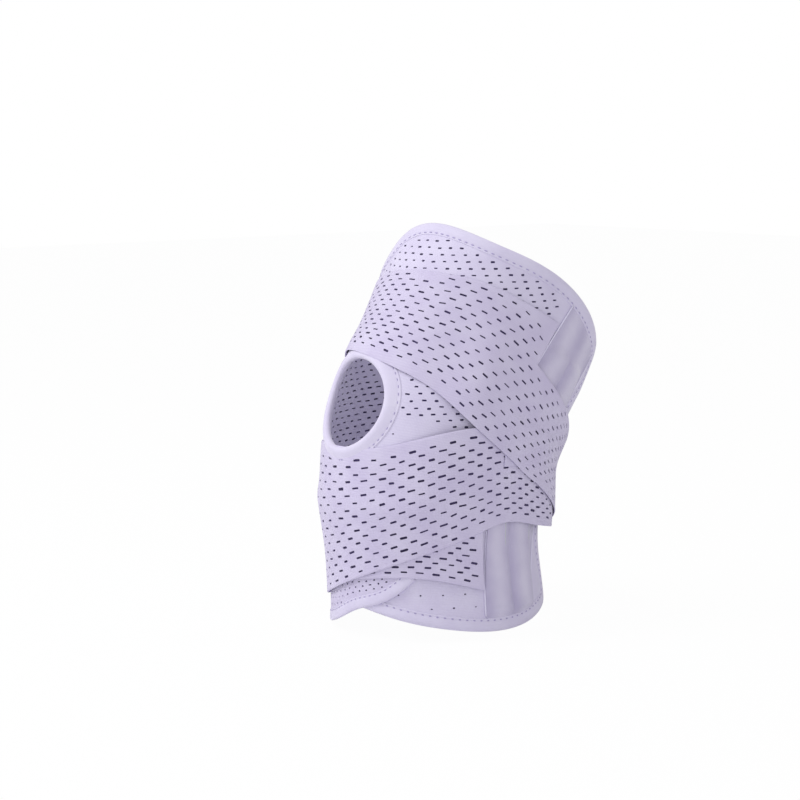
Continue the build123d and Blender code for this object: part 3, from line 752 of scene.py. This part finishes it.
# a dark core between the knit and the lining: painted shade, seen through the slots of both
cloth("panel_shade_core", "sleeve", inset_loop(wrap, 3.0), *SHADE_CORE, M_SHADE, "panel_mesh", cuts=[opening(2)], grid=7)

# kneecap ring: a rolled lip and a flat seam allowance, as (distance from the opening, height)
LIP_RADIUS, LIP_HALF_HEIGHT, LIP_MIDDLE, LIP_POINTS = 2.9, 2.75, 1.9, 15
RING_GROOVE = 8.5
lip = [(LIP_RADIUS + LIP_RADIUS * math.cos(q), LIP_MIDDLE + LIP_HALF_HEIGHT * math.sin(q))
       for q in (math.pi * (1.5 - k / (LIP_POINTS - 1)) for k in range(LIP_POINTS))]
ring_profile = np.array([(9.6, 0.1), (7, -0.3), (4.5, -0.7), *lip, (4.6, 4.35), (6.2, 3.55), (7.3, 3.2),
                         (8.0, 2.95), (RING_GROOVE, 2.6), (9.2, 2.9), (9.8, 2.7), (10.1, 2.25)])
around = np.stack([opening(inset, 120) for inset, _ in ring_profile], 1)[::-1]
tube("patella_ring", around, ring_profile, M_RING, joined=True)
thread("ring_stitches", "sleeve", closed(opening(RING_GROOVE, 200)), out=2.8, pitch=3.4, size=(2.0, 0.75))

# hems, whose profile has a groove for the stitches
HEM_GROOVE = 7.5
HEM_PROFILE = np.array([(8.9, -0.45), (6.5, -0.5), (3.5, -0.7), (1.4, -0.65), (0.25, -0.1), (-0.15, 0.8),
                        (-0.15, 1.6), (0.25, 2.5), (1.4, 3.1), (3.5, 3.2), (5.6, 2.95), (7.0, 2.65),
                        (HEM_GROOVE, 2.45), (8.0, 2.65), (8.6, 2.7), (9.0, 2.45), (9.0, 0.6)])
split_lateral, split_medial = (np.argmin(abs(line[:, 1] - CALF)) for line in (lateral_rear, medial_rear))
top_path = np.concatenate([lateral_rear[split_lateral:], top_run[::-1][1:], medial_rear[1:split_medial + 1]])
bottom_path = np.concatenate([medial_rear[split_medial:], hem_run[1:], lateral_rear[1:split_lateral + 1]])
swept("top_binding", top_path, HEM_PROFILE, M_HEM)
swept("bottom_binding", bottom_path, HEM_PROFILE, M_HEM)
thread("top_stitches", "sleeve", moved(top_path, HEM_GROOVE), out=2.65, pitch=4.6, size=(2.4, 0.9))
thread("bottom_stitches", "sleeve", moved(bottom_path, HEM_GROOVE), out=2.65, pitch=4.9, size=(1.7, 1.05))

# front flap with its hem
FLAP_GROOVE = 6.9
FLAP_PROFILE = np.array([(7.9, 2.75), (5, 2.7), (2.5, 2.6), (1.0, 2.7), (0.2, 3.0), (0.0, 3.5), (0.25, 4.05),
                         (1.1, 4.45), (2.8, 4.5), (5.0, 4.35), (6.4, 4.15), (FLAP_GROOVE, 3.95), (7.4, 4.1),
                         (7.9, 4.05), (8.0, 3.8)])
flap_rows = band_rows(FLAP_LOW, track([(62, -76), (62, 41)]), first=3, spacing=4.6)
slots = punched(flap_rows, flap_outline, pitch=6.2, length=1.8, width=1.15, margin=9,
                keep=lambda theta, s: (s < bottom_low(theta * W) + 3) & (s < lower_low(theta * W) + 4))
cloth("front_flap", "sleeve", inset_loop(flap_outline, 1.0), *FLAP, M_BAND, "band_elastic", holes=slots)
swept("flap_binding", FLAP_LOW, FLAP_PROFILE, M_HEM)
thread("flap_stitches", "sleeve", moved(FLAP_LOW, FLAP_GROOVE), out=4.1, pitch=4.4, size=(1.8, 0.8))
# a dark sheet of painted shade under the flap's slots
cloth("flap_shade_sheet", "sleeve", inset_loop(flap_outline, 3.0), *FLAP_SHADE_SHEET, M_SHADE, "band_elastic", grid=7)

# ------------------------------------------------------------------ pockets over the stays
POCKET_FRONT = [(-15, 77), (6, 77), (80, 82), (KNEE + 10, 84), (KNEE + 54, 86), (RIM - 10, 92),
                (RIM + 15, 94)]
POCKET_REAR = [(-15, 111), (12, 112), (66, 122), (KNEE + 10, 123), (KNEE + 50, 121), (RIM - 30, 129),
               (RIM + 15, 132)]
STAYS = [[(10, 87), (106, 88), (198, 98)], [(10, 106), (104, 108), (198, 114)]]
POCKET_BASE, POCKET_FACE = 2.22, 2.32
POCKET_CUT = (0.055, 0.22)
POCKET_COLUMNS, POCKET_ROWS = 64, 150
RIB_REACH, RIB_STEEPNESS = 11.6, 3.4          # mm each side of the stay, and how flat the rib's top is
HEM_COVER = 8.6                # from the wrap's edge to the pocket's end
PIPING_HEIGHT = 2.62


def pocket(name, side):
    """A stay pocket with two raised ribs, a groove between them and raised edges. side is -1 for medial."""
    front, rear = follow(track(POCKET_FRONT), 1), follow(track(POCKET_REAR), 1)
    stays = [follow(track(places), 1) for places in STAYS]
    u, v = np.meshgrid(np.linspace(0, 1, POCKET_COLUMNS), np.linspace(0, 1, POCKET_ROWS))
    # the ends follow the hem and the rim
    at_hem, at_rim = (side * (front(s) + u[0] * (rear(s) - front(s))) for s in (8.0, 215.0))
    bottom, top = hem_line(at_hem) + HEM_COVER, rim_line(at_rim) - HEM_COVER
    s = bottom + v * (top - bottom)
    w = front(s) + u * (rear(s) - front(s))
    lift = np.zeros_like(s)
    for stay in stays:
        rib = np.clip(1 - (abs(w - stay(s)) / RIB_REACH) ** RIB_STEEPNESS, 0, 1)
        lift = np.maximum(lift, rib * step(s, 9, 15) * (1 - step(s, 192, 199)))
    edge = np.minimum(u, 1 - u) * (rear(s) - front(s))
    seam = 0.55 * np.exp(-((edge - 0.8) / 0.7) ** 2)
    sag = 0.12 * np.sin(s / 9 + 3 * u) * (1 - lift)
    fuller = 46 if side > 0 else 24           # the ribs are higher at the calf
    rib_height = 1.95 + 0.9 * (1 - step(s, fuller, fuller + 13))
    face = skin(side * w / W, s, POCKET_FACE + rib_height * lift + seam * (1 - lift) + sag * step(edge, 0, 4))
    under = skin(side * w / W, s, POCKET_BASE)
    n = POCKET_ROWS * POCKET_COLUMNS
    index = np.arange(n).reshape(POCKET_ROWS, POCKET_COLUMNS)
    quads = np.stack([index[:-1, :-1], index[:-1, 1:], index[1:, 1:], index[1:, :-1]], -1).reshape(-1, 4)
    rim = np.concatenate([index[0], index[1:, -1], index[-1, -2::-1], index[-2:0:-1, 0]])
    if side < 0:
        quads, rim = quads[:, ::-1], rim[::-1]
    walls = np.stack([rim + n, np.roll(rim, -1) + n, np.roll(rim, -1), rim], -1)
    uv = np.stack([w - stays[0](s), s], -1).reshape(-1, 2) * UV_PER_MM
    across, up = np.diff(face, axis=1)[:-1], np.diff(face, axis=0)[:, :-1]
    CUT_SIZES[shown_name(name)] = (np.linalg.norm(np.cross(across, up), axis=2).sum(), *POCKET_CUT)
    verts = np.concatenate([face.reshape(-1, 3), under.reshape(-1, 3)])
    new_mesh(name, verts, [*quads, *(quads[:, ::-1] + n), *walls], "sleeve", M_POCKET,
             np.concatenate([uv, uv]), sharp=60)


CORD = np.array([(0.55 * math.cos(q), PIPING_HEIGHT + 0.5 * math.sin(q))
                 for q in np.linspace(0, 2 * math.pi, 9)[:-1]])
pocket("lateral_pocket", 1)
pocket("medial_pocket", -1)
for label, side in (("lateral", 1), ("medial", -1)):
    for edge, places in (("front", POCKET_FRONT), ("rear", POCKET_REAR)):
        line = track(places) * (side, 1)
        line = line[(line[:, 1] > hem_line(line[:, 0]) + 8.5) & (line[:, 1] < rim_line(line[:, 0]) - 8.5)]
        swept(f"{label}_pocket_{edge}_piping", line[::side], CORD[::-1], M_PIPING)
for label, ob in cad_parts.items():
    if label.endswith("_stay") or label == "stay_end_caps":
        ob.data.materials.clear()
        ob.data.materials.append(M_CAP if label == "stay_end_caps" else M_STEEL)

# ------------------------------------------------------------------ bands, with dark sheets of painted shade under their slots
SELVEDGE = 0.15
slots = punched(band_rows(BOTTOM_LOW, BOTTOM_TOP, first=4.5, spacing=4.6), bottom_outline, pitch=10.6,
                length=4.8, width=1.35, margin=3.5, keep=lambda theta, s: s < lower_low(theta * W) + 8)
cloth("bottom_band", "sleeve", bottom_outline, *BOTTOM_BAND, M_BAND, "band_elastic", holes=slots,
      rib=SELVEDGE)
cloth("bottom_shade_sheet", "sleeve", inset_loop(bottom_outline, 2.6), *BOTTOM_SHADE_SHEET, M_SHADE, "band_elastic",
      grid=7)

slots = punched(band_rows(LOWER_LOW, LOWER_TOP, first=4.5, spacing=5.8), lower_outline, pitch=13.4,
                length=4.9, width=1.4, margin=2.8)
cloth("lower_band", "sleeve", lower_outline, lambda theta, s: lower_base(theta, s) + LOWER_OVER_SHADE_SHEET,
      BAND_THICK, M_BAND, "band_elastic", holes=slots, rib=SELVEDGE)
cloth("lower_shade_sheet", "sleeve", inset_loop(lower_outline, 2), lower_base, SHADE_SHEET_THICK, M_SHADE,
      "band_elastic", grid=7)

slots = punched(band_rows(UPPER_LOW, UPPER_FAN, first=4.5, spacing=5.3), upper_outline, pitch=11.2,
                length=4.4, width=1.2, margin=2.8)
patch_edges = [patch_outline + inward(patch_outline) * inset for inset in (-0.9, 0, 0.8)]
cloth("upper_band", "sleeve", upper_outline,
      lambda theta, s: upper_base(theta, s) + UPPER_OVER_SHADE_SHEET + patch_relief(theta, s), BAND_THICK,
      M_BAND, "band_elastic", holes=slots, rib=SELVEDGE, extra=patch_edges)
cloth("upper_shade_sheet", "sleeve", inset_loop(upper_outline, 2), upper_base, SHADE_SHEET_THICK, M_SHADE,
      "band_elastic", grid=7)
cloth("cross_patch", "sleeve", patch_outline, lambda theta, s: upper_base(theta, s) - PATCH_UNDER_BAND,
      PATCH_THICK, M_PATCH, "patch_fabric")

slots = punched(level_rows(0, 300, 4.3), elastic_outline, pitch=9.4, length=4.6, width=1.2, margin=3.5,
                origin=180 * W)
cloth("rear_elastic", "sleeve", elastic_outline, *REAR_ELASTIC, M_ELASTIC, "band_elastic", holes=slots)

# ------------------------------------------------------------------ pull tabs and loop patches, medial side
def tab(name, body, top, low, base):
    """A pull tab with a rounded tip, between edges that leave the band. Gives its outline."""
    top, low = track(top), track(low)
    (low_w, low_s), (top_w, top_s) = low[-1], top[-1]
    tip = track([(low_s, low_w / W), ((low_s + top_s) / 2, top_w / W + 4), (top_s, top_w / W)])
    outline = loop(low, tip, top[::-1], np.linspace(top[0], low[0], 25))
    cloth(name, body, outline, base, TAB_THICK, M_TAB, "tab_fabric", rib=0.25)
    return outline


upper_tab = tab("upper_band_tab", "upper_tab", [(98, 232.6), (97, 260), (88, 272)],
                [(44, 232.6), (44, 260), (52, 272)], upper_base)
lower_tab = tab("lower_band_tab", "lower_tab", [(KNEE + 34, 236.6), (KNEE + 35, 257), (KNEE + 26, 269)],
                [(KNEE - 14, 236.6), (KNEE - 12, 257), (KNEE - 5, 269)], LOWER_TAB)
cloth("upper_tab_hook", "upper_tab", inset_loop(upper_tab, 3), HOOK,
      lambda theta, s: upper_base(theta, s) - HOOK - HOOK_CLEARANCE, M_HOOK, "hook_plastic")
cloth("lower_tab_hook", "lower_tab", inset_loop(lower_tab, 3), HOOK, HOOK_THICK, M_HOOK, "hook_plastic")
for name, patch in (("calf_loop_patch", polygon((40, -84), (40, -112), (100, -112), (100, -84))),
                    ("thigh_loop_patch", polygon((KNEE - 19, -86), (KNEE - 19, -114), (KNEE + 39, -114),
                                                 (KNEE + 39, -86)))):
    cloth(name, "sleeve", patch, *LOOP_PATCH, M_LOOP, "loop_fabric", grid=2.5)
    thread(name + "_stitches", "sleeve", closed(inset_loop(patch, 1.8)), out=4.85, pitch=3.0, size=(1.9, 0.6))
for body, outline, base in (("upper_tab", upper_tab, upper_base), ("lower_tab", lower_tab, LOWER_TAB)):
    thread(body + "_stitches", body, closed(inset_loop(outline, 3.4)),
           out=lambda theta, s, base=base: over(base, theta, s) + TAB_THICK + STITCH_RISE, pitch=3.0,
           size=(2.0, 0.6))

# ------------------------------------------------------------------ what is cloth, and what it lies on
bpy.context.view_layer.update()
pieces = {ob.name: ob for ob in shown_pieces()}
LIES_ON = {
    "panel_lining": (), "panel_shade_core": ("panel_lining",), "main_panel_look": ("panel_shade_core",),
    "front_flap_look": ("main_panel_look",), "flap_shade_sheet": ("main_panel_look",),
    "lateral_pocket_look": ("main_panel_look",), "medial_pocket_look": ("main_panel_look",),
    "bottom_band_look": ("bottom_shade_sheet",), "bottom_shade_sheet": ("front_flap_look", "main_panel_look"),
    "lower_band_look": ("lower_shade_sheet",), "lower_shade_sheet": ("bottom_band_look", "main_panel_look"),
    "upper_band_look": ("upper_shade_sheet",), "upper_shade_sheet": ("lower_band_look", "main_panel_look"),
    "cross_patch_look": ("lower_band_look",), "rear_elastic_look": ("main_panel_look",),
    "upper_band_tab_look": ("medial_pocket_look",), "upper_tab_hook_look": ("calf_loop_patch_look",),
    "lower_band_tab_look": ("medial_pocket_look",), "lower_tab_hook_look": ("thigh_loop_patch_look",),
    "calf_loop_patch_look": ("medial_pocket_look",), "thigh_loop_patch_look": ("medial_pocket_look",)}
for name, below in LIES_ON.items():
    declare(pieces[name])

# ------------------------------------------------------------------ floor, light and camera
FLOOR_REACH, FLOOR_GLOW = 4, 0.97
WORLD_LIGHT = 0.62
AIM = Vector((0, 0.02, 0.13))
AZIMUTH, ELEVATION, DISTANCE = math.radians(48), math.radians(8), 1.5


def seen_white(tree):
    """1 for camera, glossy and transmission rays, and 0 for the rays that light the object."""
    rays = node(tree, "LightPath", {}).outputs
    seen = rays["Is Camera Ray"]
    for name in ("Is Glossy Ray", "Is Transmission Ray"):
        seen = node(tree, "Math", {0: seen, 1: rays[name]}, operation="MAXIMUM").outputs[0]
    return seen


def floor_paper():
    """Paper that takes the object's shadow and is otherwise seen nearly white."""
    mat, tree, shader = new_material("floor_paper")
    wire(tree, shader, {"Base Color": (0.86, 0.86, 0.88, 1), "Roughness": 0.9, "Specular IOR Level": 0.1})
    share = node(tree, "Math", {0: seen_white(tree), 1: FLOOR_GLOW}, operation="MULTIPLY").outputs[0]
    glow = node(tree, "Emission", {}).outputs[0]
    mixed = node(tree, "MixShader", {"Fac": share, 1: shader.outputs[0], 2: glow}).outputs[0]
    wire(tree, tree.nodes["Material Output"], {"Surface": mixed})
    return mat


def studio():
    """A world that lights the object softly and is seen white."""
    world = bpy.data.worlds.new("studio")
    world.use_nodes = True
    tree = world.node_tree
    light = tree.nodes["Background"]
    wire(tree, light, {"Color": (1, 1, 1, 1), "Strength": WORLD_LIGHT})
    white = node(tree, "Background", {"Color": (1, 1, 1, 1), "Strength": 1}).outputs[0]
    mixed = node(tree, "MixShader", {"Fac": seen_white(tree), 1: light.outputs[0], 2: white}).outputs[0]
    wire(tree, tree.nodes["World Output"], {"Surface": mixed})
    return world


def add(name, data, place=(0, 0, 0)):
    """A new object in the scene."""
    ob = bpy.data.objects.new(name, data)
    bpy.context.collection.objects.link(ob)
    ob.location = place
    return ob


def lamp(name, place, power, size):
    """A round area lamp that points at the object."""
    light = bpy.data.lights.new(name, "AREA")
    light.energy, light.shape, light.size = power, "DISK", size
    add(name, light, place).rotation_euler = (AIM - Vector(place)).to_track_quat("-Z", "Y").to_euler()


floor_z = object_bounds()[0].z
floor_mesh = bpy.data.meshes.new("floor")
corners = [(x * FLOOR_REACH, y * FLOOR_REACH, floor_z) for x, y in ((-1, -1), (1, -1), (1, 1), (-1, 1))]
floor_mesh.from_pydata(corners, [], [(0, 1, 2, 3)])
floor_mesh.materials.append(floor_paper())
add("floor", floor_mesh)
bpy.context.scene.world = studio()
lamp("key", (-0.5, -1.1, 1.5), 18, 0.9)
lamp("fill", (1.5, -0.9, 0.6), 3, 1.2)

towards = Vector((math.sin(AZIMUTH) * math.cos(ELEVATION), -math.cos(AZIMUTH) * math.cos(ELEVATION),
                  math.sin(ELEVATION)))
lens = bpy.data.cameras.new("camera")
lens.lens, lens.sensor_width = 97.9, 36
lens.shift_x, lens.shift_y = -0.0769, 0.0283
lens.clip_start, lens.clip_end = 0.05, 30
camera = add("camera", lens, AIM + towards * DISTANCE)
camera.rotation_mode = "QUATERNION"
camera.rotation_quaternion = (-towards).to_track_quat("-Z", "Y")
bpy.context.scene.camera = camera
bpy.context.scene.view_settings.view_transform = "Standard"
